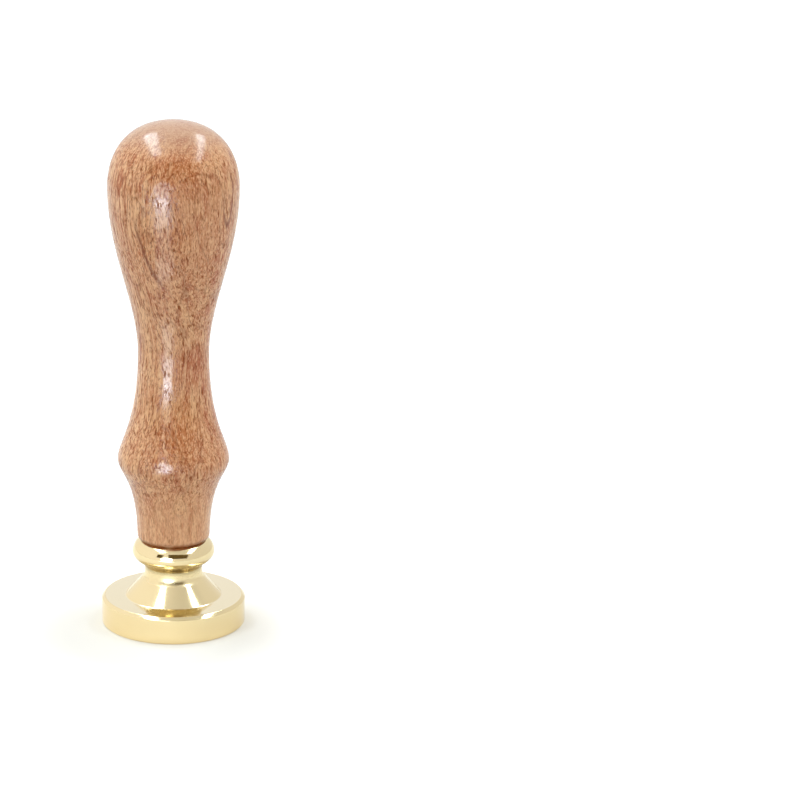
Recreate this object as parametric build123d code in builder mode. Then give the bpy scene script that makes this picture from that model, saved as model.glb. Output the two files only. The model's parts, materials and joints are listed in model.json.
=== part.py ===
from build123d import *

import os
from math import radians, tan

# Wax seal stamp, in millimetres. The engraved face lies on Z = 0, centred on the origin, and the handle
# stands up along +Z. The handle unscrews from the brass head on a double-ended stud.

# Handle, turned from one piece of hardwood: diameters from its seat on the brass up to the palm
end_diameter = 12.6
ring_diameter = 19.3
waist_diameter = 12.25
palm_diameter = 22.4

# Handle's length and the heights of its stretches, each from the one below it; waist to palm takes the rest
handle_length = 73.9
ring_rise = 14.7
waist_rise = 19.0
crown_rise = 11.3

# Fullness of each curve: how far it runs on along its end's direction, as a share of the stretch
end_fullness = 0.75
ring_lower_fullness = 0.17
ring_upper_fullness = 0.14
waist_lower_fullness = 0.66
waist_upper_fullness = 0.31
palm_lower_fullness = 0.40
palm_upper_fullness = 0.50
crown_fullness = 0.72

end_round = 0.9

# Brass head, turned from one bar: a disc with the die under it, a cone, a hollow neck and a bead
die_diameter = 25.0
disc_height = 4.85
disc_top_bevel = 0.5
die_edge_break = 0.2
cone_foot_diameter = 16.8
cone_foot_round = 0.4
cone_height = 3.75
neck_diameter = 10.0
neck_height = 1.6
neck_cove = 2.0
neck_fullness = 0.26
bead_lower_fullness = 0.50
bead_rise = 2.7
bead_swell = 1.45
bead_shoulder_height = 2.3
seat_setback = 0.6

# Double-ended stud: a machine thread in the head, a plain shank, and a pointed wood thread in the handle
stud_diameter = 6.0
stud_chamfer = 0.7
shank_diameter = 5.3
machine_length = 8.0
shank_length = 3.0
wood_length = 12.0
point_length = 4.0
point_diameter = 1.0

# Drilled holes that take the stud
thread_clearance = 0.05
hole_spare_depth = 1.0
mouth_chamfer = 0.6
drill_point_angle = 118.0

# Engraving of the die: a border line, a ring of pearls and a star of chip-carved rays round a centre pearl
border_margin = 1.4
border_width = 0.6
border_depth = 0.4
pearl_count = 24
pearl_gap = 0.8
pearl_diameter = 0.9
pearl_depth = 0.4
ray_pairs = 4
ray_gap = 0.8
ray_half_width = 0.95
ray_shoulder_share = 0.29
ray_depth = 0.7
short_ray_setback = 1.9
hub_diameter = 1.2
hub_gap = 0.5

# Radii and heights that follow from the sizes above
end_radius = end_diameter / 2
ring_radius = ring_diameter / 2
waist_radius = waist_diameter / 2
palm_radius = palm_diameter / 2
die_radius = die_diameter / 2
neck_radius = neck_diameter / 2
seat_radius = end_radius - seat_setback
bead_radius = seat_radius + bead_swell
cone_foot_radius = cone_foot_diameter / 2
stud_radius = stud_diameter / 2
shank_radius = shank_diameter / 2
point_radius = point_diameter / 2
hole_radius = stud_radius + thread_clearance
drill_point_depth = hole_radius / tan(radians(drill_point_angle / 2))

cone_top = disc_height + cone_height
neck_top = cone_top + neck_height
bead_middle = neck_top + bead_rise
seat_height = bead_middle + bead_shoulder_height
ring_height = seat_height + ring_rise
waist_height = ring_height + waist_rise
crown_height = seat_height + handle_length
palm_height = crown_height - crown_rise
stud_bottom = seat_height - machine_length
shank_top = seat_height + shank_length
wood_thread_top = shank_top + wood_length
stud_top = wood_thread_top + point_length

border_radius = die_radius - border_margin - border_width / 2
pearl_ring_radius = border_radius - border_width / 2 - pearl_gap - pearl_diameter / 2
long_ray_tip = pearl_ring_radius - pearl_diameter / 2 - ray_gap
short_ray_tip = long_ray_tip - short_ray_setback
ray_foot = hub_diameter / 2 + hub_gap

os.makedirs("parts", exist_ok=True)


def turned_span(lower_radius, lower_height, lower_fullness, upper_radius, upper_height, upper_fullness):
    """One stretch of a turned outline, upright at both of its ends."""
    rise = upper_height - lower_height
    Bezier(
        (lower_radius, lower_height),
        (lower_radius, lower_height + lower_fullness * rise),
        (upper_radius, upper_height - upper_fullness * rise),
        (upper_radius, upper_height),
    )


def drilled_outline(depth, inward):
    """Half outline of a drilled hole at the seat: chamfered mouth, wall and drill point. Inward is +1 or -1."""
    Polyline(
        (0, seat_height),
        (hole_radius + mouth_chamfer, seat_height),
        (hole_radius, seat_height + inward * mouth_chamfer),
        (hole_radius, seat_height + inward * depth),
        (0, seat_height + inward * (depth + drill_point_depth)),
        close=True,
    )


def ring_edge(solid, radius, height):
    """The circular edge of a turned piece at this radius and height."""
    return solid.edges().sort_by_distance((0, radius, height))[0]


def chip_carved_ray(tip):
    """A ray's cut: a kite on the die's face that falls to its deepest point between its two corners."""
    shoulder = ray_foot + ray_shoulder_share * (tip - ray_foot)
    with BuildPart() as ray:
        with BuildSketch(Plane.XY):
            with BuildLine():
                Polyline(
                    (ray_foot, 0),
                    (shoulder, ray_half_width),
                    (tip, 0),
                    (shoulder, -ray_half_width),
                    close=True,
                )
            make_face()
        loft(sections=[*ray.pending_faces, Vertex(shoulder, 0, ray_depth)])
    return ray.part


def drilled_pearl(diameter):
    """A pearl's cut: the mark of a pointed cutter in the die's face."""
    Cone(diameter / 2, 0, pearl_depth, align=(Align.CENTER, Align.CENTER, Align.MIN), mode=Mode.SUBTRACT)


with BuildPart() as wood_handle:
    with BuildSketch(Plane.XZ):
        with BuildLine():
            turned_span(
                end_radius, seat_height, end_fullness,
                ring_radius, ring_height, ring_lower_fullness,
            )
            turned_span(
                ring_radius, ring_height, ring_upper_fullness,
                waist_radius, waist_height, waist_lower_fullness,
            )
            turned_span(
                waist_radius, waist_height, waist_upper_fullness,
                palm_radius, palm_height, palm_lower_fullness,
            )
            Bezier(
                (palm_radius, palm_height),
                (palm_radius, palm_height + palm_upper_fullness * crown_rise),
                (crown_fullness * palm_radius, crown_height),
                (0, crown_height),
            )
            Polyline((0, crown_height), (0, seat_height), (end_radius, seat_height))
        make_face()
    revolve(axis=Axis.Z)
    fillet(ring_edge(wood_handle, end_radius, seat_height), radius=end_round)
    with BuildSketch(Plane.XZ):
        with BuildLine():
            drilled_outline(stud_top - seat_height + hole_spare_depth, inward=1)
        make_face()
    revolve(axis=Axis.Z, mode=Mode.SUBTRACT)
wood_handle.part.label = "wood_handle"
export_step(wood_handle.part, "parts/wood_handle.step")


with BuildPart() as threaded_stud:
    with BuildSketch(Plane.XZ):
        with BuildLine():
            Polyline(
                (0, stud_bottom),
                (stud_radius - stud_chamfer, stud_bottom),
                (stud_radius, stud_bottom + stud_chamfer),
                (stud_radius, seat_height),
                (shank_radius, seat_height + stud_radius - shank_radius),
                (shank_radius, shank_top - (stud_radius - shank_radius)),
                (stud_radius, shank_top),
                (stud_radius, wood_thread_top),
                (point_radius, stud_top),
                (0, stud_top),
                close=True,
            )
        make_face()
    revolve(axis=Axis.Z)
threaded_stud.part.label = "threaded_stud"
export_step(threaded_stud.part, "parts/threaded_stud.step")


long_ray = chip_carved_ray(long_ray_tip)
short_ray = chip_carved_ray(short_ray_tip)

with BuildPart() as seal_head:
    with BuildSketch(Plane.XZ):
        with BuildLine():
            Polyline(
                (0, seat_height),
                (0, 0),
                (die_radius, 0),
                (die_radius, disc_height),
                (cone_foot_radius, disc_height),
                (neck_radius, cone_top),
                (neck_radius, neck_top),
            )
            turned_span(
                neck_radius, neck_top, neck_fullness,
                bead_radius, bead_middle, bead_lower_fullness,
            )
            TangentArc((bead_radius, bead_middle), (seat_radius, seat_height), tangent=(0, 1))
            Line((seat_radius, seat_height), (0, seat_height))
        make_face()
    revolve(axis=Axis.Z)
    chamfer(ring_edge(seal_head, die_radius, disc_height), length=disc_top_bevel)
    chamfer(ring_edge(seal_head, die_radius, 0), length=die_edge_break)
    fillet(ring_edge(seal_head, cone_foot_radius, disc_height), radius=cone_foot_round)
    fillet(ring_edge(seal_head, neck_radius, cone_top), radius=neck_cove)

    # Tapped hole for the stud
    with BuildSketch(Plane.XZ):
        with BuildLine():
            drilled_outline(machine_length + hole_spare_depth, inward=-1)
        make_face()
    revolve(axis=Axis.Z, mode=Mode.SUBTRACT)

    # Border line, a V-groove round the die
    with BuildSketch(Plane.XZ):
        with BuildLine():
            Polyline(
                (border_radius - border_width / 2, 0),
                (border_radius, border_depth),
                (border_radius + border_width / 2, 0),
                close=True,
            )
        make_face()
    revolve(axis=Axis.Z, mode=Mode.SUBTRACT)

    # Star rays, long and short in turn
    with PolarLocations(0, ray_pairs):
        add(long_ray, mode=Mode.SUBTRACT)
    with PolarLocations(0, ray_pairs, start_angle=180 / ray_pairs):
        add(short_ray, mode=Mode.SUBTRACT)

    # Pearls of the border, and the one at the centre
    with PolarLocations(pearl_ring_radius, pearl_count):
        drilled_pearl(pearl_diameter)
    drilled_pearl(hub_diameter)
seal_head.part.label = "seal_head"
export_step(seal_head.part, "parts/seal_head.step")
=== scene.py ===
import json
from math import atan, cos, pi, radians, sin, tan

import bmesh
import bpy
from bpy.props import FloatProperty, FloatVectorProperty, IntProperty, PointerProperty
from bpy.types import Operator, Panel, PropertyGroup
from mathutils import Matrix, Quaternion, Vector


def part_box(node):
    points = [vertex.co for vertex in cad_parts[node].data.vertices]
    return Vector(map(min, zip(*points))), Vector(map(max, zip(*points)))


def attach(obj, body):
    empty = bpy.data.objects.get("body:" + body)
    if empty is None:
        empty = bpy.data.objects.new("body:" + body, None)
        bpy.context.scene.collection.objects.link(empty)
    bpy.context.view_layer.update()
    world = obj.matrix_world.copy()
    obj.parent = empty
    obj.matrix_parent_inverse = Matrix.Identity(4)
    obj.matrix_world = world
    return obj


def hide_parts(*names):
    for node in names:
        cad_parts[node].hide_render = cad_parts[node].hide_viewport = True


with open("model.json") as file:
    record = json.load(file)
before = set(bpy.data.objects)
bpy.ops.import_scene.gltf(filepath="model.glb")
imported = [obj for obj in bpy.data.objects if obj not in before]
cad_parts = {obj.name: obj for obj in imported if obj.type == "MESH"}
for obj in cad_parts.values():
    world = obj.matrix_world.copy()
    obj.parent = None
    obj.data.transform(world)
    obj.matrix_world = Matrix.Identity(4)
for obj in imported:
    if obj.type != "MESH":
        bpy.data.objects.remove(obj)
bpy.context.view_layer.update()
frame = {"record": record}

bl_info = {
    "name": "Wax Seal Stamp",
    "version": (1, 0, 0),
    "blender": (4, 5, 0),
    "location": "3D View > Sidebar > Stamp",
    "description": "Turned hardwood handle, engraved brass head and the screw between them, on a white stage",
    "category": "Add Mesh",
}

MM = 0.001
PER_MM = 1 / MM

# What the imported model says: where the handle sits, how wide things are, and the screw's climb in one turn
handle_low, handle_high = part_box("wood_handle")
stud_low, stud_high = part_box("threaded_stud")
head_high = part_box("seal_head")[1]
SEAT = handle_low.z
CROWN = handle_high.z
TURN_PITCH = frame["record"]["behaviour"]["couplings"][0]["ratio"] * 2 * pi

# Fineness of the meshes, the bend that counts as a crease, and how near two points are one
TURNED_SEGMENTS = 192
CURVE_STEPS = 36
ARC_STEPS = 12
CREASE_ANGLE = radians(32)
WELD_DISTANCE = 0.001 * MM
HEIGHT_DIGITS = 6


def length(name, description, default):
    """A size in metres that a user may change."""
    return FloatProperty(
        name=name, description=description, default=default, min=0, precision=5, unit="LENGTH"
    )


def angle(name, description, default):
    """An angle in radians."""
    return FloatProperty(name=name, description=description, default=default, subtype="ANGLE")


def colour(name, description, default):
    """A linear colour."""
    return FloatVectorProperty(
        name=name, description=description, default=default, size=3, min=0, max=1, subtype="COLOR"
    )


class HandleSettings(PropertyGroup):
    """Sizes and colours of the turned handle."""

    palm_diameter: length("Palm diameter", "Width of the swell that fills the palm", 2 * handle_high.x)
    waist_diameter: length("Waist diameter", "Width where the fingers close", 12.25 * MM)
    ring_diameter: length("Ring diameter", "Width of the rounded ring below the waist", 19.3 * MM)
    end_diameter: length("End diameter", "Width of the end on the brass", 12.6 * MM)
    ring_rise: length("Ring rise", "Height of the ring above the seat", 14.7 * MM)
    waist_rise: length("Waist rise", "Height of the waist above the ring", 19.0 * MM)
    crown_rise: length("Crown rise", "Height of the crown above the palm swell", 11.3 * MM)
    end_round: length("End round", "Rounding of the end's edge", 0.9 * MM)
    pale_wood: colour("Pale wood", "Colour of the pale, straight grain", (0.68, 0.338, 0.155))
    red_wood: colour("Red wood", "Colour of the redder figure", (0.455, 0.124, 0.040))
    pore_colour: colour("Pores", "Colour of the short dark pores", (0.21, 0.046, 0.009))
    fleck_colour: colour("Flecks", "Colour of the pale fibres between the pores", (0.85, 0.505, 0.27))
    # Calmer grain near the brass, made lighter as painted light for the light that the brass throws up
    calm_lit_wood: colour("Calm wood", "Colour of the calmer wood near the brass", (0.84, 0.47, 0.235))
    # End grain on the crown, greyed as a painted sheen of the bright surround
    end_grain_sheen: colour("End grain", "Colour of the end grain on the crown", (0.37, 0.245, 0.175))
    lacquer_roughness: FloatProperty(
        name="Lacquer roughness", description="Blur of the lacquer's gloss", default=0.11, min=0, max=1,
        subtype="FACTOR",
    )


class HeadSettings(PropertyGroup):
    """Sizes and colours of the brass head and its engraving."""

    die_diameter: length("Die diameter", "Width of the disc and its engraved face", 2 * head_high.x)
    disc_height: length("Disc height", "Thickness of the disc", 4.85 * MM)
    cone_foot_diameter: length("Cone foot", "Width of the cone where it meets the disc", 16.8 * MM)
    cone_height: length("Cone height", "Height of the cone", 3.75 * MM)
    neck_diameter: length("Neck diameter", "Width of the neck", 10.0 * MM)
    neck_height: length("Neck height", "Height of the neck's straight part", 1.6 * MM)
    bead_diameter: length("Bead diameter", "Width of the bead under the handle", 14.3 * MM)
    bead_rise: length("Bead rise", "Height of the bead's widest line above the neck", 2.7 * MM)
    seat_diameter: length("Seat diameter", "Width of the flat that the handle sits on", 11.4 * MM)
    border_diameter: length("Border diameter", "Width of the engraved border line", 21.6 * MM)
    pearl_count: IntProperty(name="Pearls", description="Pearls in the border", default=24, min=3)
    pearl_diameter: length("Pearl diameter", "Width of a border pearl", 0.9 * MM)
    hub_diameter: length("Hub diameter", "Width of the pearl at the centre", 1.2 * MM)
    ray_pairs: IntProperty(
        name="Ray pairs", description="Long rays, and as many short ones", default=4, min=1
    )
    long_ray: length("Long ray", "Distance of a long ray's tip from the centre", 8.0 * MM)
    short_ray: length("Short ray", "Distance of a short ray's tip from the centre", 6.1 * MM)
    brass_colour: colour("Brass", "Colour of the polished brass", (0.86, 0.705, 0.412))
    haze_colour: colour("Haze", "Colour of the brass where it is hazy", (0.82, 0.65, 0.35))
    cut_colour: colour("Engraved cuts", "Colour of the brass inside the engraved cuts", (0.55, 0.37, 0.13))
    # Painted shade in the hollow under the bead
    hollow_shade_colour: colour("Hollow", "Colour of the dull hollow over the neck", (0.34, 0.27, 0.13))
    # Painted reflection of the bright surround on the disc's flat
    flat_reflection_colour: colour("Flat", "Colour of the pale flat on the disc", (0.89, 0.80, 0.59))


class StudSettings(PropertyGroup):
    """Sizes and colours of the double-ended stud."""

    stud_diameter: length("Stud diameter", "Width over the threads", 2 * stud_high.x)
    machine_length: length("Machine thread", "Length of the thread in the head", SEAT - stud_low.z)
    shank_diameter: length("Shank diameter", "Width of the plain shank", 5.3 * MM)
    shank_length: length("Shank length", "Length of the plain shank", 3.0 * MM)
    wood_length: length("Wood thread", "Length of the coarse thread in the handle", 12.0 * MM)
    wood_pitch: length("Wood thread pitch", "Climb of the coarse thread in one turn", 2.4 * MM)
    steel_colour: colour("Zinc plate", "Colour of the plated steel", (0.60, 0.61, 0.62))
    cloud_colour: colour("Clouds", "Colour of the clouds in the zinc plate", (0.52, 0.52, 0.47))


class StageSettings(PropertyGroup):
    """Camera, floor, surround and dark cards."""

    camera_distance: length("Camera distance", "How far in front of the stamp the camera stands", 483.4 * MM)
    camera_height: length("Camera height", "How high the camera stands above the floor", 185.0 * MM)
    camera_tilt: angle("Camera tilt", "How far the camera looks down", radians(16.67))
    camera_pan: angle("Camera pan", "How far the camera looks to the right", radians(4.434))
    focal_length: FloatProperty(
        name="Focal length", description="Lens, in millimetres", default=131.4, min=1, unit="CAMERA"
    )
    floor_size: length("Floor size", "Width of the round floor", 6.0)
    floor_colour: colour("Floor", "Colour of the pale floor", (0.63, 0.612, 0.578))
    surround: colour("Surround", "Colour of the white surround", (1.0, 1.0, 1.0))
    card_colour: colour("Dark cards", "Colour of the dark cards that the brass shows", (0.14, 0.09, 0.028))


class StampSettings(PropertyGroup):
    """All settings of the stamp."""

    handle: PointerProperty(type=HandleSettings)
    head: PointerProperty(type=HeadSettings)
    stud: PointerProperty(type=StudSettings)
    stage: PointerProperty(type=StageSettings)


# Outlines and meshes

def curve_points(start, start_pull, end_pull, end):
    """Points along a cubic curve of (radius, height), without its first point."""
    corners = (start, start_pull, end_pull, end)
    points = []
    for step in range(1, CURVE_STEPS + 1):
        t = step / CURVE_STEPS
        weights = ((1 - t) ** 3, 3 * (1 - t) ** 2 * t, 3 * (1 - t) * t ** 2, t ** 3)
        points.append(tuple(sum(w * c[axis] for w, c in zip(weights, corners)) for axis in (0, 1)))
    return points


def turned_span(lower, lower_fullness, upper, upper_fullness):
    """One stretch of a turned outline, upright at both of its ends, without its first point."""
    rise = upper[1] - lower[1]
    return curve_points(
        lower,
        (lower[0], lower[1] + lower_fullness * rise),
        (upper[0], upper[1] - upper_fullness * rise),
        upper,
    )


def eased(before, corner, after, radius, steps=ARC_STEPS):
    """Arc of this radius that takes the place of an outline's corner."""
    corner = Vector(corner)
    back = (Vector(before) - corner).normalized()
    ahead = (Vector(after) - corner).normalized()
    half_angle = back.angle(ahead) / 2
    centre = corner + (back + ahead).normalized() * (radius / sin(half_angle))
    first = corner + back * (radius / tan(half_angle)) - centre
    last = corner + ahead * (radius / tan(half_angle)) - centre
    sweep = first.angle_signed(last)
    turns = [Matrix.Rotation(-sweep * step / steps, 2) for step in range(steps + 1)]
    return [tuple(centre + turn @ first) for turn in turns]


def ring_of(mesh, radius, height):
    """A ring of vertices about the Z axis, or the one vertex that it shrinks to on the axis."""
    if radius == 0:
        return [mesh.verts.new((0, 0, height))]
    angles = [2 * pi * step / TURNED_SEGMENTS for step in range(TURNED_SEGMENTS)]
    return [mesh.verts.new((radius * cos(a), radius * sin(a), height)) for a in angles]


def join_rings(mesh, lower, upper):
    """Faces between two rings. Where one is a single vertex, they are triangles."""
    count = max(len(lower), len(upper))
    for step in range(count):
        after = (step + 1) % count
        corners = [
            lower[step % len(lower)], lower[after % len(lower)],
            upper[after % len(upper)], upper[step % len(upper)],
        ]
        mesh.faces.new(dict.fromkeys(corners))


def ring_edges(mesh, ring):
    """The edges round a ring of vertices, made where they are missing."""
    pairs = zip(ring, ring[1:] + ring[:1])
    return [mesh.edges.get(pair) or mesh.edges.new(pair) for pair in pairs]


def turn(mesh, outline):
    """Turns an outline of (radius, height) points about the Z axis. Returns its first and last ring."""
    rings = [ring_of(mesh, radius, height) for radius, height in outline]
    for lower, upper in zip(rings, rings[1:]):
        join_rings(mesh, lower, upper)
    return rings[0], rings[-1]


def thread_depth(phase, crest, flank):
    """Depth of a thread below its crest, from 0 to 1. The phase, crest and flank are shares of the pitch."""
    off_crest = min(phase, 1 - phase) - crest / 2
    return min(max(off_crest / flank, 0), 1)


def threaded_wall(mesh, radius_at, low, high, pitch, rows_per_turn):
    """A right-hand thread whose rows of faces climb with it. Returns its lowest and highest ring.

    radius_at gives the radius for a phase in the turn, as a share of the pitch, and a height.
    """
    found = {}

    def level(height):
        """A height that can be looked up."""
        return round(height / MM, HEIGHT_DIGITS)

    def vertex(row, step):
        """The vertex of a row at a step round the axis, held between the ends."""
        climb = row / rows_per_turn + step / TURNED_SEGMENTS
        height = min(max(low + (climb - 1) * pitch, low), high)
        key = (step, level(height))
        if key not in found:
            phase = ((height - low) / pitch - step / TURNED_SEGMENTS) % 1
            radius = radius_at(phase, height)
            turned = 2 * pi * step / TURNED_SEGMENTS
            found[key] = mesh.verts.new((radius * cos(turned), radius * sin(turned), height))
        return found[key]

    rows = int((high - low) / pitch + 2) * rows_per_turn
    for row in range(rows):
        for step in range(TURNED_SEGMENTS):
            after = (step + 1) % TURNED_SEGMENTS
            lift = rows_per_turn if after == 0 else 0
            corners = dict.fromkeys((
                vertex(row, step), vertex(row + lift, after),
                vertex(row + 1 + lift, after), vertex(row + 1, step),
            ))
            if len(corners) > 2:
                mesh.faces.new(corners)
    return [[found[step, level(end)] for step in range(TURNED_SEGMENTS)] for end in (low, high)]


def object_of(name, mesh, material):
    """Makes a mesh into an object of the scene, in this material."""
    data = bpy.data.meshes.new(name)
    mesh.to_mesh(data)
    mesh.free()
    data.materials.append(material)
    made = bpy.data.objects.new(name, data)
    bpy.context.scene.collection.objects.link(made)
    return made


def finish_piece(name, mesh, material, body, node):
    """Makes a piece of a mesh, smooth up to its creases, and sets it in the frame in place of a node."""
    bmesh.ops.recalc_face_normals(mesh, faces=mesh.faces)
    for face in mesh.faces:
        face.smooth = True
    for edge in mesh.edges:
        edge.smooth = edge.calc_face_angle(0) < CREASE_ANGLE
    piece = object_of(name, mesh, material)
    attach(piece, body)
    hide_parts(node)


# Finishes

# Sockets of the mix node that take and give colours
MIX_FACTOR = 0
MIX_FIRST = 6
MIX_SECOND = 7
MIX_RESULT = 2


class Nodes:
    """A node tree in the making. Most methods add a node and return its output."""

    def __init__(self, tree):
        self.tree = tree

    def add(self, kind, inputs, output, **settings):
        """A node of this kind. Inputs are values or outputs of other nodes, by name or number."""
        made = self.tree.nodes.new(kind)
        for name, value in settings.items():
            setattr(made, name, value)
        for name, value in inputs.items():
            self.give(made.inputs[name], value)
        return made.outputs[output]

    def give(self, socket, value):
        """Links an output to a socket, or sets a plain value. A plain colour is opaque."""
        if isinstance(value, bpy.types.NodeSocket):
            self.tree.links.new(value, socket)
        elif socket.type == "RGBA":
            socket.default_value = (*value, 1.0)
        else:
            socket.default_value = value

    def place(self):
        """The place on the piece, in millimetres."""
        here = self.add("ShaderNodeTexCoord", {}, "Object")
        return self.scaled(here, (PER_MM,) * 3)

    def scaled(self, vector, scale, offset=(0, 0, 0)):
        """A vector stretched along its axes, then moved."""
        return self.add("ShaderNodeMapping", {"Vector": vector, "Scale": scale, "Location": offset}, "Vector")

    def axis(self, vector, name):
        """A vector's part along X, Y or Z."""
        return self.add("ShaderNodeSeparateXYZ", {"Vector": vector}, name)

    def across(self, vector):
        """A place's distance from the Z axis."""
        return self.vectors("LENGTH", self.scaled(vector, (1, 1, 0)), output="Value")

    def noise(self, vector, fineness=1.0, detail=2.0, roughness=0.5, output="Fac"):
        """Soft noise, which varies about this often in a unit of the vector."""
        inputs = {"Vector": vector, "Scale": fineness, "Detail": detail, "Roughness": roughness}
        return self.add("ShaderNodeTexNoise", inputs, output)

    def fade(self, value, start, full, most=1.0, least=0.0):
        """Eases from the least to the most while a value goes from its start to where the fade is full."""
        inputs = {"Value": value, "From Min": start, "From Max": full, "To Min": least, "To Max": most}
        return self.add("ShaderNodeMapRange", inputs, "Result", interpolation_type="SMOOTHSTEP")

    def band(self, value, middle, start, full, most=1.0):
        """Fades in towards a middle value. Start and full are distances from it, on both sides."""
        off_middle = self.maths("ABSOLUTE", self.maths("SUBTRACT", value, middle))
        return self.fade(off_middle, start, full, most)

    def maths(self, operation, first, second=0.0):
        """One sum on two numbers."""
        return self.add("ShaderNodeMath", {0: first, 1: second}, 0, operation=operation)

    def times(self, first, second):
        """The product of two numbers."""
        return self.maths("MULTIPLY", first, second)

    def vectors(self, operation, first, second=(0, 0, 0), output="Vector"):
        """One sum on two vectors."""
        return self.add("ShaderNodeVectorMath", {0: first, 1: second}, output, operation=operation)

    def mix(self, factor, first, second):
        """A colour between two others."""
        inputs = {MIX_FACTOR: factor, MIX_FIRST: first, MIX_SECOND: second}
        return self.add("ShaderNodeMix", inputs, MIX_RESULT, data_type="RGBA")

    def bump(self, height, depth, under=None):
        """A relief of this depth in metres, on top of another one."""
        inputs = {"Height": height, "Distance": depth}
        if under is not None:
            inputs["Normal"] = under
        return self.add("ShaderNodeBump", inputs, "Normal")

    def ray(self, kind):
        """1 for rays of this kind, such as Is Camera Ray."""
        return self.add("ShaderNodeLightPath", {}, kind)


class Finish(Nodes):
    """A material in the making, with one shader."""

    def __init__(self, name):
        self.material = bpy.data.materials.new(name)
        self.material.use_nodes = True
        super().__init__(self.material.node_tree)

    def shade(self, **inputs):
        """Sets the shader's own sockets, named with underscores, and returns the material."""
        shader = self.tree.nodes["Principled BSDF"]
        for name, value in inputs.items():
            self.give(shader.inputs[name.replace("_", " ")], value)
        return self.material


# Noises in the wood: how often each varies in a millimetre along X, Y and Z, and an offset that sets it apart
SWAY = ((0.03, 0.03, 0.028), (0, 0, 0))
RIPPLE = ((0.11, 0.11, 0.075), (7.1, 2.3, 4.9))
COARSE_GRAIN = ((2.7, 2.7, 0.5), (0, 0, 0))
FINE_GRAIN = ((5.0, 5.0, 1.3), (11.0, 5.0, 2.0))
FLOW = ((0.13, 0.13, 0.04), (3.0, 1.0, 8.0))
MOTTLE = ((0.75, 0.75, 0.2), (1.0, 4.0, 6.0))
STREAKS = ((1.6, 1.6, 0.06), (5.0, 9.0, 1.0))
THREADS = ((3.6, 3.6, 0.09), (2.0, 6.0, 3.0))
NOISE_MIDDLE = 0.5

# How far the fibres lean with the sway and quiver with the ripple, in millimetres
LEAN_REACH = (9.0, 9.0, 0.0)
QUIVER_REACH = (2.6, 2.6, 0.0)

# Marks in the wood: the level of noise where each starts and where it is full, and its strength there
RED_MOTTLE = (0.45, 0.66, 0.6)
RED_FLOW = (0.42, 0.66, 0.4)
RED_BANDS = (0.48, 0.64, 0.35)
PALE_STRIPES = (0.50, 0.34, 0.3)
PALE_FLECKS = (0.46, 0.30, 0.5)
PALE_GLINTS = (0.48, 0.31, 0.7)
PALE_THREADS = (0.49, 0.34, 0.6)
DARK_THREADS = (0.52, 0.66, 0.4)
DARK_PRICKS = (0.53, 0.69, 0.68)
DARK_PORES = (0.56, 0.67, 0.86)

# Zones of the handle, in millimetres: where each starts and is full, and its strength there and at its start.
# The calm wood, lighter with painted light from the brass, and the painted shade along the seam are measured
# up from the seat, the end grain with its painted sheen and the open grain down from the crown, and the side
# with thin threads from the axis to the right
CALM_LIT_ZONE = (13.0, 5.0, 0.35)
SEAM_SHADE = (1.0, 0.3, 0.85)
END_GRAIN_SHEEN = (5.5, 0.5, 0.6)
OPEN_GRAIN = (1.0, 8.0, 1.0, 0.45)
THREADED_SIDE = (3.0, -6.0, 1.0, 0.15)

# Spots in the wood: middle and reach in millimetres, redness, and how much of the lacquer's gloss they lack.
# The core is the share of the reach where a spot is full
WOOD_SPOTS = (
    ((1.0, -10.0, 82.0), 7.0, 0.72, 0.32),
    ((-2.0, -10.8, 80.5), 4.5, 0.0, 0.3),
    ((-2.0, -10.8, 71.0), 7.0, 0.0, 0.5),
    ((3.5, -9.0, 69.0), 10.0, 0.5, 0.0),
    ((2.4, -6.0, 48.0), 6.0, 0.95, 0.0),
    ((0.5, -8.5, 34.0), 8.0, 0.62, 0.0),
    ((-0.5, -7.2, 38.0), 6.5, 0.0, 0.9),
)
SPOT_CORE = 0.4

# Thin dark lines where the flow is at its middle level: how far from it they fade out, and their strength
LINE_WIDTH = 0.012
LINE_STRENGTH = 0.4

# Dark veins, each part of the skin of an egg in the wood, in millimetres: the egg's middle and half widths,
# the skin's share of them, and the middle and reach of the part that shows. The coarse grain breaks them up
VEINS = (
    ((9.2, -6.4, 78.5), (1.15, 1.5, 6.3), 0.22, (12.0, -3.0, 75.5), 8.0),
    ((9.1, -8.0, 80.0), (15.7, 20.0, 24.0), 0.024, (-4.2, -8.7, 68.0), 7.5),
)
VEIN_STRENGTH = 0.9
VEIN_CORE = 0.6
VEIN_BREAKS = (0.32, 0.48, 1.0, 0.45)

# Surface of the wood: the lacquer dips into the pores, has soft waves, and is thinner over the fine pricks
BARE_ROUGHNESS = 0.6
LACQUER_IOR = 1.5
PORE_DEPTH = 0.016 * MM
LACQUER_WAVES = 2.6
LACQUER_WAVE_HEIGHT = 0.009 * MM
PRICK_BARENESS = 0.6


def fibre_waves(finish, place, waves, reach):
    """How far soft waves move the fibres sideways."""
    noise = finish.noise(finish.scaled(place, *waves), detail=1.0, output="Color")
    off_middle = finish.vectors("SUBTRACT", noise, (NOISE_MIDDLE,) * 3)
    return finish.vectors("MULTIPLY", off_middle, reach)


def wood_figure(finish, grain, flow):
    """How red the wood is, and how much of the lacquer's gloss it lacks."""
    mottle = finish.noise(finish.scaled(grain, *MOTTLE))
    redness = finish.maths("ADD", finish.fade(mottle, *RED_MOTTLE), finish.fade(flow, *RED_FLOW))
    dullness = 0.0
    for middle, reach, red, dull in WOOD_SPOTS:
        away = finish.vectors("DISTANCE", grain, middle, "Value")
        spot = finish.fade(away, reach, SPOT_CORE * reach)
        redness = finish.maths("MAXIMUM", redness, finish.times(spot, red))
        dullness = finish.maths("ADD", dullness, finish.times(spot, dull))
    return redness, dullness


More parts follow.
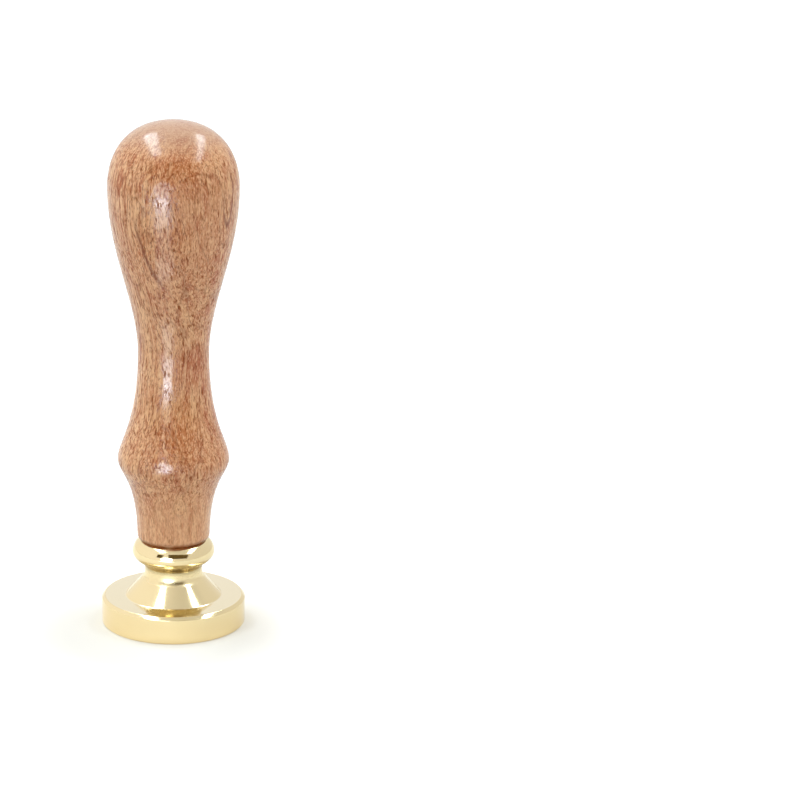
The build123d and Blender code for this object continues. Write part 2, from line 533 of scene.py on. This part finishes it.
def wood_veins(finish, place, quiver, flow, coarse):
    """The thin dark lines that follow the flow, and the dark veins."""
    lines = finish.band(flow, NOISE_MIDDLE, LINE_WIDTH, 0.0, LINE_STRENGTH)
    wavy = finish.vectors("ADD", place, quiver)
    breaks = finish.fade(coarse, *VEIN_BREAKS)
    for middle, half_widths, skin, shown, reach in VEINS:
        shares = finish.vectors("DIVIDE", finish.vectors("SUBTRACT", wavy, middle), half_widths)
        vein = finish.band(finish.vectors("LENGTH", shares, output="Value"), 1.0, skin, 0.0, VEIN_STRENGTH)
        away = finish.vectors("DISTANCE", place, shown, "Value")
        vein = finish.times(vein, finish.fade(away, reach, VEIN_CORE * reach))
        lines = finish.maths("MAXIMUM", lines, finish.times(vein, breaks))
    return lines


def lacquered_wood(settings):
    """Reddish hardwood with wavy grain and short dark pores, under a clear gloss lacquer."""
    finish = Finish("lacquered_wood")
    place = finish.place()
    height = finish.axis(place, "Z")
    above_seat = finish.maths("SUBTRACT", height, PER_MM * SEAT)
    below_crown = finish.maths("SUBTRACT", PER_MM * CROWN, height)

    # The fibres lean to and fro along the handle
    lean = fibre_waves(finish, place, SWAY, LEAN_REACH)
    quiver = fibre_waves(finish, place, RIPPLE, QUIVER_REACH)
    grain = finish.vectors("ADD", finish.vectors("ADD", place, lean), quiver)

    coarse = finish.noise(finish.scaled(grain, *COARSE_GRAIN), detail=3.0, roughness=0.6)
    fine = finish.noise(finish.scaled(grain, *FINE_GRAIN))
    flow = finish.noise(finish.scaled(grain, *FLOW))
    streaks = finish.noise(finish.scaled(grain, *STREAKS), detail=1.0)
    threads = finish.noise(finish.scaled(grain, *THREADS), detail=1.0)

    redness, dullness = wood_figure(finish, grain, flow)
    veins = wood_veins(finish, place, quiver, flow, coarse)
    threaded = finish.fade(finish.axis(place, "X"), *THREADED_SIDE)
    pale_threads = finish.times(threaded, finish.fade(threads, *PALE_THREADS))
    dark_threads = finish.times(threaded, finish.fade(threads, *DARK_THREADS))
    open_grain = finish.fade(below_crown, *OPEN_GRAIN)
    pores = finish.times(open_grain, finish.fade(coarse, *DARK_PORES))
    pricks = finish.times(open_grain, finish.fade(fine, *DARK_PRICKS))

    # Each mark lies over those before it
    red = settings.red_wood
    light = settings.fleck_colour
    dark = settings.pore_colour
    tone = finish.mix(redness, settings.pale_wood, red)
    for mark, shade in (
        (finish.fade(streaks, *RED_BANDS), red),
        (finish.fade(streaks, *PALE_STRIPES), light),
        (finish.fade(coarse, *PALE_FLECKS), light),
        (finish.fade(fine, *PALE_GLINTS), light),
        (pale_threads, light),
        (dark_threads, dark),
        (pricks, dark),
        (pores, dark),
        (veins, dark),
        # Lighter, calmer wood near the brass: calmer grain and painted light from the brass
        (finish.fade(above_seat, *CALM_LIT_ZONE), settings.calm_lit_wood),
        # Painted shade along the seam with the brass
        (finish.fade(above_seat, *SEAM_SHADE), dark),
        # End grain on the crown, with a painted greyish sheen
        (finish.fade(below_crown, *END_GRAIN_SHEEN), settings.end_grain_sheen),
    ):
        tone = finish.mix(mark, tone, shade)

    relief = finish.bump(finish.maths("ADD", pores, pricks), -PORE_DEPTH)
    relief = finish.bump(finish.noise(place, LACQUER_WAVES), LACQUER_WAVE_HEIGHT, relief)
    bare = finish.maths("ADD", pores, finish.times(pricks, PRICK_BARENESS))
    bare = finish.maths("MINIMUM", finish.maths("MAXIMUM", dullness, bare), 1.0)
    return finish.shade(
        Base_Color=tone,
        Roughness=BARE_ROUGHNESS,
        Specular_IOR_Level=0.0,
        Normal=relief,
        Coat_Weight=finish.maths("SUBTRACT", 1.0, bare),
        Coat_Roughness=settings.lacquer_roughness,
        Coat_IOR=LACQUER_IOR,
        Coat_Normal=relief,
    )


# How often the noises in the brass vary in a millimetre, and the depth of its relief
HAZE_FINENESS = 0.22
TURNING_FINENESS = 5.0
TURNING_DEPTH = 0.0006 * MM
WAVE_FINENESS = 0.35
WAVE_DEPTH = 0.01 * MM

# Haze on the brass: the level where it starts and where it is full, and its strength or roughness
HAZE_TONE = (0.35, 0.75, 0.25)
HAZE_ROUGHNESS = (0.3, 0.8, 0.16, 0.08)
SATIN_ROUGHNESS = 0.16

# Zones of the brass, in millimetres: the cuts above the face, the flat inside the rim with its painted
# reflection, and the neck and the hollow above the cone, which takes painted shade. A band has the half
# heights where it starts and where it is full
CUT_FADE = (0.01, 0.12)
CUT_CEILING = 1.0
CUT_MARGIN = 0.4
FLAT_BAND = (0.12, 0.02)
FLAT_REFLECTION_STRENGTH = 0.8
FLAT_MARGIN = 0.5
FLAT_MARGIN_FULL = 0.7
NECK_MIDDLE = 0.35
NECK_BAND = (1.15, 0.85)
HOLLOW_MIDDLE = 2.5
HOLLOW_BAND = (1.6, 0.8)
HOLLOW_SHADE_STRENGTH = 0.6


def polished_brass(settings):
    """Turned and polished brass with faint turning lines, a little haze, duller engraved cuts, painted shade
    under the bead and a painted reflection on the flat.
    """
    finish = Finish("polished_brass")
    place = finish.place()
    across = finish.across(place)
    height = finish.axis(place, "Z")
    rim = PER_MM * settings.die_diameter / 2
    border = PER_MM * settings.border_diameter / 2
    disc_top = PER_MM * settings.disc_height
    cone_top = disc_top + PER_MM * settings.cone_height

    haze = finish.noise(place, HAZE_FINENESS, detail=3.0)
    lathe = finish.add("ShaderNodeCombineXYZ", {"X": across, "Y": height}, "Vector")
    turning = finish.noise(lathe, TURNING_FINENESS)
    waves = finish.noise(place, WAVE_FINENESS, detail=1.0)

    inside = finish.maths("LESS_THAN", across, border + CUT_MARGIN)
    shallow = finish.maths("LESS_THAN", height, CUT_CEILING)
    near_face = finish.times(inside, shallow)
    engraved = finish.times(near_face, finish.fade(height, *CUT_FADE))
    # The pale flat inside the rim is a painted reflection of the bright surround
    flat = finish.fade(across, rim - FLAT_MARGIN, rim - FLAT_MARGIN_FULL, FLAT_REFLECTION_STRENGTH)
    flat = finish.times(flat, finish.band(height, disc_top, *FLAT_BAND))
    neck = finish.band(height, cone_top + NECK_MIDDLE, *NECK_BAND)
    # The hollow under the bead takes painted shade, and is satin
    hollow = finish.band(height, cone_top + HOLLOW_MIDDLE, *HOLLOW_BAND)

    tone = finish.mix(finish.fade(haze, *HAZE_TONE), settings.brass_colour, settings.haze_colour)
    tone = finish.mix(engraved, tone, settings.cut_colour)
    # Painted shade in the hollow, then the painted reflection on the flat
    tone = finish.mix(finish.times(hollow, HOLLOW_SHADE_STRENGTH), tone, settings.hollow_shade_colour)
    tone = finish.mix(flat, tone, settings.flat_reflection_colour)
    satin = finish.maths("MAXIMUM", finish.maths("MAXIMUM", neck, hollow), engraved)
    satin = finish.times(satin, SATIN_ROUGHNESS)
    relief = finish.bump(waves, WAVE_DEPTH, finish.bump(turning, TURNING_DEPTH))
    return finish.shade(
        Base_Color=tone,
        Metallic=1.0,
        Roughness=finish.maths("ADD", finish.fade(haze, *HAZE_ROUGHNESS), satin),
        Normal=relief,
    )


# Zinc plate: how often its noises vary in a millimetre, where the clouds start and are full, the depth of the
# grit, and how far below a crest the thread is rubbed bright, in millimetres
CLOUD_FINENESS = 0.6
CLOUD_FADE = (0.35, 0.7)
GRIT_FINENESS = 9.0
GRIT_DEPTH = 0.004 * MM
RUBBED_DEPTH = 0.2
SATIN_PLATE = 0.42
RUBBED_PLATE = 0.24


def plated_steel(settings):
    """Satin zinc plate, clouded a little and rubbed bright on the thread's crests."""
    finish = Finish("plated_steel")
    place = finish.place()
    clouds = finish.noise(place, CLOUD_FINENESS, detail=3.0)
    grit = finish.noise(place, GRIT_FINENESS)
    crest = PER_MM * settings.stud_diameter / 2
    rubbed = finish.fade(finish.across(place), crest - RUBBED_DEPTH, crest)
    return finish.shade(
        Base_Color=finish.mix(finish.fade(clouds, *CLOUD_FADE), settings.steel_colour, settings.cloud_colour),
        Metallic=1.0,
        Roughness=finish.fade(rubbed, 0.0, 1.0, RUBBED_PLATE, SATIN_PLATE),
        Normal=finish.bump(grit, GRIT_DEPTH),
    )


# Pieces

# Drilled holes that take the stud
HOLE_CLEARANCE = 0.05 * MM
HOLE_SPARE_DEPTH = 1.0 * MM
MOUTH_CHAMFER = 0.6 * MM
DRILL_POINT_ANGLE = radians(118)


def hole_radius(stud):
    """Radius of the holes that take the stud."""
    return stud.stud_diameter / 2 + HOLE_CLEARANCE


def drill_point_depth(stud):
    """Depth of the cone that the drill leaves at the end of such a hole."""
    return hole_radius(stud) / tan(DRILL_POINT_ANGLE / 2)


# Fullness of the handle's curves: how far each runs on along its end's direction, as a share of the stretch
END_FULLNESS = 0.75
RING_LOWER_FULLNESS = 0.17
RING_UPPER_FULLNESS = 0.14
WAIST_LOWER_FULLNESS = 0.66
WAIST_UPPER_FULLNESS = 0.31
PALM_LOWER_FULLNESS = 0.40
PALM_UPPER_FULLNESS = 0.50
CROWN_FULLNESS = 0.72


class STAMP_OT_handle(Operator):
    """Turn the hardwood handle with the bore for its stud"""

    bl_idname = "stamp.handle"
    bl_label = "Handle"
    bl_options = {"REGISTER", "UNDO"}

    def execute(self, context):
        stamp = context.scene.stamp
        mesh = bmesh.new()
        turn(mesh, self.bore(stamp.stud) + self.outline(stamp.handle))
        wood = lacquered_wood(stamp.handle)
        finish_piece("turned_handle", mesh, wood, body="handle", node="wood_handle")
        return {"FINISHED"}

    def bore(self, stud):
        """Half outline of the drilled bore, from its end on the axis to its chamfered mouth."""
        radius = hole_radius(stud)
        end = stud_high.z + HOLE_SPARE_DEPTH
        return [
            (0, end + drill_point_depth(stud)),
            (radius, end),
            (radius, SEAT + MOUTH_CHAMFER),
            (radius + MOUTH_CHAMFER, SEAT),
        ]

    def outline(self, settings):
        """Half outline from the seat up to the crown on the axis."""
        end = (settings.end_diameter / 2, SEAT)
        ring = (settings.ring_diameter / 2, SEAT + settings.ring_rise)
        waist = (settings.waist_diameter / 2, ring[1] + settings.waist_rise)
        palm = (settings.palm_diameter / 2, CROWN - settings.crown_rise)
        rounded_end = eased((0, SEAT), end, (end[0], ring[1]), settings.end_round)
        lowest_stretch = turned_span(end, END_FULLNESS, ring, RING_LOWER_FULLNESS)
        above_round = [point for point in lowest_stretch if point[1] > SEAT + settings.end_round]
        palm_pull = (palm[0], palm[1] + PALM_UPPER_FULLNESS * settings.crown_rise)
        crown_pull = (CROWN_FULLNESS * palm[0], CROWN)
        return [
            *rounded_end,
            *above_round,
            *turned_span(ring, RING_UPPER_FULLNESS, waist, WAIST_LOWER_FULLNESS),
            *turned_span(waist, WAIST_UPPER_FULLNESS, palm, PALM_LOWER_FULLNESS),
            *curve_points(palm, palm_pull, crown_pull, (0, CROWN)),
        ]


# Small forms of the brass head: broken lower edge, bevelled rim, rounded cone foot, neck cove and bead
EDGE_BREAK = 0.2 * MM
BREAK_EASE = 0.05 * MM
BREAK_EASE_STEPS = 3
DISC_BEVEL = 0.5 * MM
BEVEL_EASE = 0.08 * MM
BEVEL_EASE_STEPS = 4
CONE_FOOT_ROUND = 0.4 * MM
NECK_COVE = 2.0 * MM
NECK_FULLNESS = 0.26
BEAD_FULLNESS = 0.50

# Engraved cuts: the border line, the pearls inside it, and the rays with their deepest point at the shoulder
BORDER_WIDTH = 0.6 * MM
BORDER_DEPTH = 0.4 * MM
PEARL_SETBACK = 1.55 * MM
PEARL_DEPTH = 0.4 * MM
PEARL_SIDES = 24
RAY_FOOT = 1.1 * MM
RAY_SHOULDER_SHARE = 0.29
RAY_HALF_WIDTH = 0.95 * MM
RAY_DEPTH = 0.7 * MM

# Tapped thread, as shares of its pitch, and the rows of faces in one turn of it or of the stud's thread
TAPPED_CREST = 0.2
TAPPED_FLANK = 0.3
TAPPED_DEPTH = 0.54
MACHINE_ROWS = 8


class STAMP_OT_head(Operator):
    """Turn the brass head, tap its hole and engrave the die under it"""

    bl_idname = "stamp.head"
    bl_label = "Brass Head"
    bl_options = {"REGISTER", "UNDO"}

    def execute(self, context):
        stamp = context.scene.stamp
        mesh = bmesh.new()
        face_edge, hole_mouth = turn(mesh, self.outline(stamp.head, stamp.stud))
        self.engrave(mesh, face_edge, stamp.head)
        self.tap_hole(mesh, hole_mouth, stamp.stud)
        brass = polished_brass(stamp.head)
        finish_piece("engraved_head", mesh, brass, body="head", node="seal_head")
        return {"FINISHED"}

    def outline(self, settings, stud):
        """Half outline from the inner edge of the border line, round the disc and up to the hole's mouth."""
        border = settings.border_diameter / 2
        rim = settings.die_diameter / 2
        disc_top = settings.disc_height
        cone_foot = (settings.cone_foot_diameter / 2, disc_top)
        cone_head = (settings.neck_diameter / 2, disc_top + settings.cone_height)
        neck_top = (cone_head[0], cone_head[1] + settings.neck_height)
        bead = (settings.bead_diameter / 2, neck_top[1] + settings.bead_rise)
        seat = (settings.seat_diameter / 2, SEAT)
        border_out = (border + BORDER_WIDTH / 2, 0)
        break_in = (rim - EDGE_BREAK, 0)
        break_out = (rim, EDGE_BREAK)
        bevel_out = (rim, disc_top - DISC_BEVEL)
        bevel_in = (rim - DISC_BEVEL, disc_top)
        return [
            (border - BORDER_WIDTH / 2, 0),
            (border, BORDER_DEPTH),
            border_out,
            *eased(border_out, break_in, break_out, BREAK_EASE, BREAK_EASE_STEPS),
            *eased(break_in, break_out, bevel_out, BREAK_EASE, BREAK_EASE_STEPS),
            *eased(break_out, bevel_out, bevel_in, BEVEL_EASE, BEVEL_EASE_STEPS),
            *eased(bevel_out, bevel_in, cone_foot, BEVEL_EASE, BEVEL_EASE_STEPS),
            *eased(bevel_in, cone_foot, cone_head, CONE_FOOT_ROUND),
            *eased(cone_foot, cone_head, neck_top, NECK_COVE),
            neck_top,
            *turned_span(neck_top, NECK_FULLNESS, bead, BEAD_FULLNESS),
            *self.shoulder(bead, seat),
            (hole_radius(stud) + MOUTH_CHAMFER, SEAT),
        ]

    def shoulder(self, bead, seat):
        """Arc from the bead's widest line, upright there, to the seat's edge, without its first point."""
        inward = bead[0] - seat[0]
        rise = seat[1] - bead[1]
        radius = (inward ** 2 + rise ** 2) / (2 * inward)
        sweep = 2 * atan(inward / rise)
        angles = [sweep * step / CURVE_STEPS for step in range(1, CURVE_STEPS + 1)]
        return [(bead[0] - radius * (1 - cos(a)), bead[1] + radius * sin(a)) for a in angles]

    def engrave(self, mesh, face_edge, settings):
        """Fills the die's face inside the border, round sunk pearls and chip-carved rays."""
        pearl_ring = settings.border_diameter / 2 - PEARL_SETBACK
        cuts = [self.pearl(mesh, (0, 0), settings.hub_diameter)]
        for step in range(settings.pearl_count):
            turned = 2 * pi * step / settings.pearl_count
            centre = (pearl_ring * cos(turned), pearl_ring * sin(turned))
            cuts.append(self.pearl(mesh, centre, settings.pearl_diameter))
        for step in range(2 * settings.ray_pairs):
            tip = settings.short_ray if step % 2 else settings.long_ray
            cuts.append(self.ray(mesh, tip, pi * step / settings.ray_pairs))
        edges = ring_edges(mesh, face_edge)
        for rim, _ in cuts:
            edges += ring_edges(mesh, rim)
        bmesh.ops.triangle_fill(mesh, edges=edges, use_beauty=True, normal=(0, 0, -1))
        for rim, deepest in cuts:
            join_rings(mesh, rim, [mesh.verts.new(deepest)])

    def pearl(self, mesh, centre, diameter):
        """The rim and the deepest point of a pearl, the mark of a pointed cutter."""
        x, y = centre
        angles = [2 * pi * step / PEARL_SIDES for step in range(PEARL_SIDES)]
        rim = [(x + diameter / 2 * cos(a), y + diameter / 2 * sin(a), 0) for a in angles]
        return [mesh.verts.new(point) for point in rim], (x, y, PEARL_DEPTH)

    def ray(self, mesh, tip, turned):
        """The rim and the deepest point of a ray, a kite cut with sloping sides."""
        shoulder = RAY_FOOT + RAY_SHOULDER_SHARE * (tip - RAY_FOOT)
        swing = Matrix.Rotation(turned, 3, "Z")
        kite = [(RAY_FOOT, 0, 0), (shoulder, RAY_HALF_WIDTH, 0), (tip, 0, 0), (shoulder, -RAY_HALF_WIDTH, 0)]
        rim = [mesh.verts.new(swing @ Vector(point)) for point in kite]
        return rim, swing @ Vector((shoulder, 0, RAY_DEPTH))

    def tap_hole(self, mesh, hole_mouth, stud):
        """The tapped hole from its chamfered mouth to the drill point."""
        radius = hole_radius(stud)
        bottom = SEAT - stud.machine_length - HOLE_SPARE_DEPTH
        thread_low = bottom + HOLE_SPARE_DEPTH / 2

        def radius_at(phase, height):
            """The stud's own thread and the clearance, cut back by the mouth's chamfer and run out below."""
            run_out = min((height - thread_low) / TURN_PITCH, 1)
            depth = TAPPED_DEPTH * TURN_PITCH * thread_depth(phase, TAPPED_CREST, TAPPED_FLANK)
            return max(radius - run_out * depth, radius + MOUTH_CHAMFER - (SEAT - height))

        low, high = threaded_wall(mesh, radius_at, thread_low, SEAT, TURN_PITCH, MACHINE_ROWS)
        end = ring_of(mesh, radius, bottom)
        join_rings(mesh, end, low)
        join_rings(mesh, end, ring_of(mesh, 0, bottom - drill_point_depth(stud)))
        bmesh.ops.remove_doubles(mesh, verts=hole_mouth + high, dist=WELD_DISTANCE)


# Threads of the stud, as shares of their pitch: the machine thread's depth, and both threads' crest and flank
MACHINE_DEPTH = 0.61
MACHINE_CREST = 0.12
MACHINE_FLANK = 0.31
WOOD_CREST = 0.06
WOOD_FLANK = 0.2
WOOD_ROWS = 16

# Small forms of the stud: the machine thread's start, the wood thread's core and its point
STUD_CHAMFER = 0.7 * MM
CORE_RADIUS = 2.1 * MM
POINT_RADIUS = 0.5 * MM


class STAMP_OT_stud(Operator):
    """Cut the double-ended stud: machine thread, plain shank and pointed wood thread"""

    bl_idname = "stamp.stud"
    bl_label = "Threaded Stud"
    bl_options = {"REGISTER", "UNDO"}

    def execute(self, context):
        settings = context.scene.stamp.stud
        mesh = bmesh.new()
        shank_low = self.machine_thread(mesh, settings)
        shank_high = self.wood_thread(mesh, settings)
        join_rings(mesh, shank_low, shank_high)
        steel = plated_steel(settings)
        finish_piece("double_stud", mesh, steel, body="handle", node="threaded_stud")
        return {"FINISHED"}

    def machine_thread(self, mesh, settings):
        """A metric thread with a chamfered start, run out into the shank. Returns its highest ring."""
        radius = settings.stud_diameter / 2
        shank = settings.shank_diameter / 2
        bottom = SEAT - settings.machine_length

        def radius_at(phase, height):
            """The ridge, cut back by the chamfer below and drawn in to the shank above."""
            ridge = radius - MACHINE_DEPTH * TURN_PITCH * thread_depth(phase, MACHINE_CREST, MACHINE_FLANK)
            start = radius - STUD_CHAMFER + (height - bottom)
            run_out = min(max((height - (SEAT - TURN_PITCH)) / TURN_PITCH, 0), 1)
            return min(ridge + (shank - ridge) * run_out, start)

        lowest, highest = threaded_wall(mesh, radius_at, bottom, SEAT, TURN_PITCH, MACHINE_ROWS)
        join_rings(mesh, ring_of(mesh, 0, bottom), lowest)
        return highest

    def wood_thread(self, mesh, settings):
        """A coarse thin ridge round a slim core that tapers to the point. Returns its lowest ring."""
        radius = settings.stud_diameter / 2
        shank = settings.shank_diameter / 2
        low = SEAT + settings.shank_length
        taper_low = low + settings.wood_length
        high = stud_high.z

        def radius_at(phase, height):
            """The ridge on its core, grown out of the shank below and drawn in to the point above."""
            taper = min(max((high - height) / (high - taper_low), 0), 1)
            crest = POINT_RADIUS + (radius - POINT_RADIUS) * taper
            root = POINT_RADIUS + (CORE_RADIUS - POINT_RADIUS) * min(2 * taper, 1)
            run_in = min((height - low) / settings.wood_pitch, 1)
            core = shank + (root - shank) * run_in
            return core + max(crest - core, 0) * run_in * (1 - thread_depth(phase, WOOD_CREST, WOOD_FLANK))

        lowest, highest = threaded_wall(mesh, radius_at, low, high, settings.wood_pitch, WOOD_ROWS)
        join_rings(mesh, highest, ring_of(mesh, 0, high))
        return lowest


# Stage

# Strength of the white surround, where white is 1: what lights, what gloss shows, how far and towards which
# side that dims, and the shares of both on the left and on the right
FILL_STRENGTH = 0.79
BRIGHT_STRENGTH = 1.08
DIM_STRENGTH = 0.84
DIM_SIDE = (0.2, -0.05, 0.98)
DIM_FROM = 0.68
LEFT_SHARE = 1.03
RIGHT_SHARE = 0.78

# Lamps are a little cool, and what only gloss shows is cooler
LAMP_COLOUR = (0.79, 0.92, 1.0)
GLOSS_COLOUR = (0.71, 0.85, 1.0)

# Strip lights overhead, in metres: name, place, angles, width and depth, and brightness, where white is 1
STRIP_LIGHTS = (
    ("left_strip", (-0.258, 0.075, 0.60), (0, radians(-24), radians(-3)), (0.155, 0.69), 8.7),
    ("right_strip", (0.385, 0.045, 0.60), (0, radians(36), radians(16)), (0.11, 0.80), 9.4),
)

# What only gloss shows in front, a little to the left: an upright panel, given as the strips are, and sheets
# on the floor from near to far, each with its name, nearest and farthest edge, width and brightness
FRONT_TURN = radians(-19)
FRONT_PANEL = ("front_panel", (-0.13, -0.37, 0.084), (pi / 2, 0, FRONT_TURN), (0.22, 0.16), 10.0)
FLOOR_SHEETS = (
    ("near_sheet", 0.075, 0.15, 0.06, 3.0),
    ("middle_sheet", 0.15, 0.28, 0.10, 9.2),
    ("far_sheet", 0.28, 0.51, 0.16, 20.0),
)
SHEET_LIFT = 0.001

# Dark cards above the camera that only gloss shows, in metres: place, width and height, tilt and turn
DARK_CARDS = (
    ((0.20, -0.62, 0.42), (0.75, 0.44), radians(-33), 0.0),
    ((-0.50, -0.56, 0.42), (0.24, 0.36), radians(-33), radians(-40)),
)

# How much the white floor glows by itself: for the camera near the stamp and far from it, and for gloss on
# the left and on the right. The glow is warm near the stamp
NEAR_GLOW = 0.18
FAR_GLOW = 0.52
LEFT_GLOW = 0.305
RIGHT_GLOW = 0.18
WARM_GLOW = (1.0, 0.88, 0.72)
GLOW_CENTRE = (-0.003, -0.007, 0.0)
GLOW_NEAR = 0.014
GLOW_FAR = 0.032


class STAMP_OT_stage(Operator):
    """Set up the white surround, the floor, the lamps, the dark cards and the camera"""

    bl_idname = "stamp.stage"
    bl_label = "Stage"
    bl_options = {"REGISTER", "UNDO"}

    def execute(self, context):
        scene = context.scene
        settings = scene.stamp.stage
        self.surround(scene, settings)
        self.floor(settings, scene.stamp.head.die_diameter / 2 - EDGE_BREAK)
        self.lamps(scene)
        for number, card in enumerate(DARK_CARDS, start=1):
            self.dark_card(f"dark_card_{number}", settings, *card)
        self.camera(scene, settings)
        scene.view_settings.view_transform = "Standard"
        return {"FINISHED"}

    def surround(self, scene, settings):
        """A surround that is white for the camera, dims overhead for gloss, and lights more softly."""
        world = bpy.data.worlds.new("white_surround")
        world.use_nodes = True
        scene.world = world
        tree = world.node_tree
        tree.nodes.remove(tree.nodes["Background"])
        nodes = Nodes(tree)
        direction = nodes.add("ShaderNodeTexCoord", {}, "Generated")
        side = nodes.fade(nodes.axis(direction, "X"), -1.0, 1.0, RIGHT_SHARE, LEFT_SHARE)
        overhead = nodes.vectors("DOT_PRODUCT", direction, Vector(DIM_SIDE).normalized(), "Value")
        gloss = nodes.fade(overhead, DIM_FROM, 1.0, DIM_STRENGTH, BRIGHT_STRENGTH)
        shown = nodes.maths("MAXIMUM", nodes.times(gloss, side), nodes.ray("Is Camera Ray"))
        fill = nodes.times(side, FILL_STRENGTH)
        seen = nodes.ray("Is Camera Ray")
        for kind in ("Is Glossy Ray", "Is Transmission Ray"):
            seen = nodes.maths("MAXIMUM", seen, nodes.ray(kind))
        lit, looked_at = [
            nodes.add("ShaderNodeBackground", {"Color": settings.surround, "Strength": level}, "Background")
            for level in (fill, shown)
        ]
        both = nodes.add("ShaderNodeMixShader", {"Fac": seen, 1: lit, 2: looked_at}, "Shader")
        nodes.give(tree.nodes["World Output"].inputs["Surface"], both)

    def floor(self, settings, opening):
        """A pale round floor, open under the die so that light reaches it."""
        mesh = bmesh.new()
        edge = ring_of(mesh, settings.floor_size / 2, 0)
        join_rings(mesh, edge, ring_of(mesh, opening, 0))
        floor = object_of("floor", mesh, self.white_floor(settings))

    def white_floor(self, settings):
        """Pale matt floor, white to look at but for the stamp's shadow, and clear when seen from below."""
        finish = Finish("white_floor")
        here = finish.add("ShaderNodeTexCoord", {}, "Object")
        away = finish.vectors("DISTANCE", here, GLOW_CENTRE, "Value")
        camera = finish.ray("Is Camera Ray")
        gloss = finish.maths("MAXIMUM", finish.ray("Is Glossy Ray"), finish.ray("Is Transmission Ray"))
        seen = finish.times(camera, finish.fade(away, GLOW_NEAR, GLOW_FAR, FAR_GLOW, NEAR_GLOW))
        shine = finish.fade(finish.axis(here, "X"), -GLOW_FAR, GLOW_FAR, RIGHT_GLOW, LEFT_GLOW)
        warmth = finish.fade(away, GLOW_FAR, GLOW_NEAR)
        below = finish.add("ShaderNodeNewGeometry", {}, "Backfacing")
        return finish.shade(
            Base_Color=settings.floor_colour,
            Roughness=1.0,
            Specular_IOR_Level=0.0,
            Emission_Color=finish.mix(warmth, settings.surround, WARM_GLOW),
            Emission_Strength=finish.maths("MAXIMUM", seen, finish.times(gloss, shine)),
            Alpha=finish.maths("SUBTRACT", 1.0, finish.times(below, camera)),
        )

    def lamps(self, scene):
        """Two strip lights overhead, and in front a panel and sheets on the floor that only gloss shows."""
        for strip in STRIP_LIGHTS:
            self.lamp(scene, LAMP_COLOUR, *strip)
        panel = self.lamp(scene, GLOSS_COLOUR, *FRONT_PANEL)
        panel.data.shape = "ELLIPSE"
        cards = [panel]
        for name, near, far, width, brightness in FLOOR_SHEETS:
            away = (near + far) / 2
            place = (away * sin(FRONT_TURN), -away * cos(FRONT_TURN), SHEET_LIFT)
            size = (width, far - near)
            cards.append(self.lamp(scene, GLOSS_COLOUR, name, place, (pi, 0, FRONT_TURN), size, brightness))
        for card in cards:
            card.visible_diffuse = False

    def lamp(self, scene, tint, name, place, angles, size, brightness):
        """A soft rectangular lamp, of this brightness where white is 1. With no angles it points down."""
        data = bpy.data.lights.new(name, "AREA")
        data.shape = "RECTANGLE"
        data.size, data.size_y = size
        data.energy = brightness * pi * size[0] * size[1]
        data.color = tint
        lamp = bpy.data.objects.new(name, data)
        lamp.location = place
        lamp.rotation_euler = angles
        lamp.visible_camera = False
        scene.collection.objects.link(lamp)
        return lamp

    def dark_card(self, name, settings, place, size, tilt, turned):
        """A dark card that only gloss shows, so that the polished brass has dark lines in it."""
        width, height = size
        corners = ((-1, -1), (1, -1), (1, 1), (-1, 1))
        mesh = bmesh.new()
        mesh.faces.new([mesh.verts.new((x * width / 2, 0, z * height / 2)) for x, z in corners])
        dark = Finish(name).shade(Base_Color=settings.card_colour, Roughness=1.0, Specular_IOR_Level=0.0)
        card = object_of(name, mesh, dark)
        card.location = place
        card.rotation_euler = (tilt, 0, turned)
        card.visible_camera = False
        card.visible_diffuse = False
        card.visible_shadow = False

    def camera(self, scene, settings):
        """The camera in front of the stamp, looking down at it and past it to the right."""
        data = bpy.data.cameras.new("camera")
        data.lens = settings.focal_length
        camera = bpy.data.objects.new("camera", data)
        camera.location = (0, -settings.camera_distance, settings.camera_height)
        camera.rotation_mode = "QUATERNION"
        tilt = Quaternion((1, 0, 0), pi / 2 - settings.camera_tilt)
        pan = Quaternion((0, 1, 0), -settings.camera_pan)
        camera.rotation_quaternion = tilt @ pan
        scene.collection.objects.link(camera)
        scene.camera = camera


class STAMP_PT_sidebar(Panel):
    """The stamp's pieces and settings"""

    bl_idname = "STAMP_PT_sidebar"
    bl_label = "Wax Seal Stamp"
    bl_space_type = "VIEW_3D"
    bl_region_type = "UI"
    bl_category = "Stamp"

    def draw(self, context):
        stamp = context.scene.stamp
        for operator, group in zip(OPERATORS, (stamp.handle, stamp.head, stamp.stud, stamp.stage)):
            box = self.layout.box()
            box.operator(operator.bl_idname)
            for name in group.bl_rna.properties.keys():
                if name not in ("rna_type", "name"):
                    box.prop(group, name)


OPERATORS = (STAMP_OT_handle, STAMP_OT_head, STAMP_OT_stud, STAMP_OT_stage)
SETTINGS = (HandleSettings, HeadSettings, StudSettings, StageSettings, StampSettings)
CLASSES = (*SETTINGS, *OPERATORS, STAMP_PT_sidebar)


def register():
    for made in CLASSES:
        bpy.utils.register_class(made)
    bpy.types.Scene.stamp = PointerProperty(type=StampSettings)


def unregister():
    del bpy.types.Scene.stamp
    for made in reversed(CLASSES):
        bpy.utils.unregister_class(made)


def main():
    register()
    bpy.ops.stamp.handle()
    bpy.ops.stamp.head()
    bpy.ops.stamp.stud()
    bpy.ops.stamp.stage()


if __name__ == "__main__":
    main()
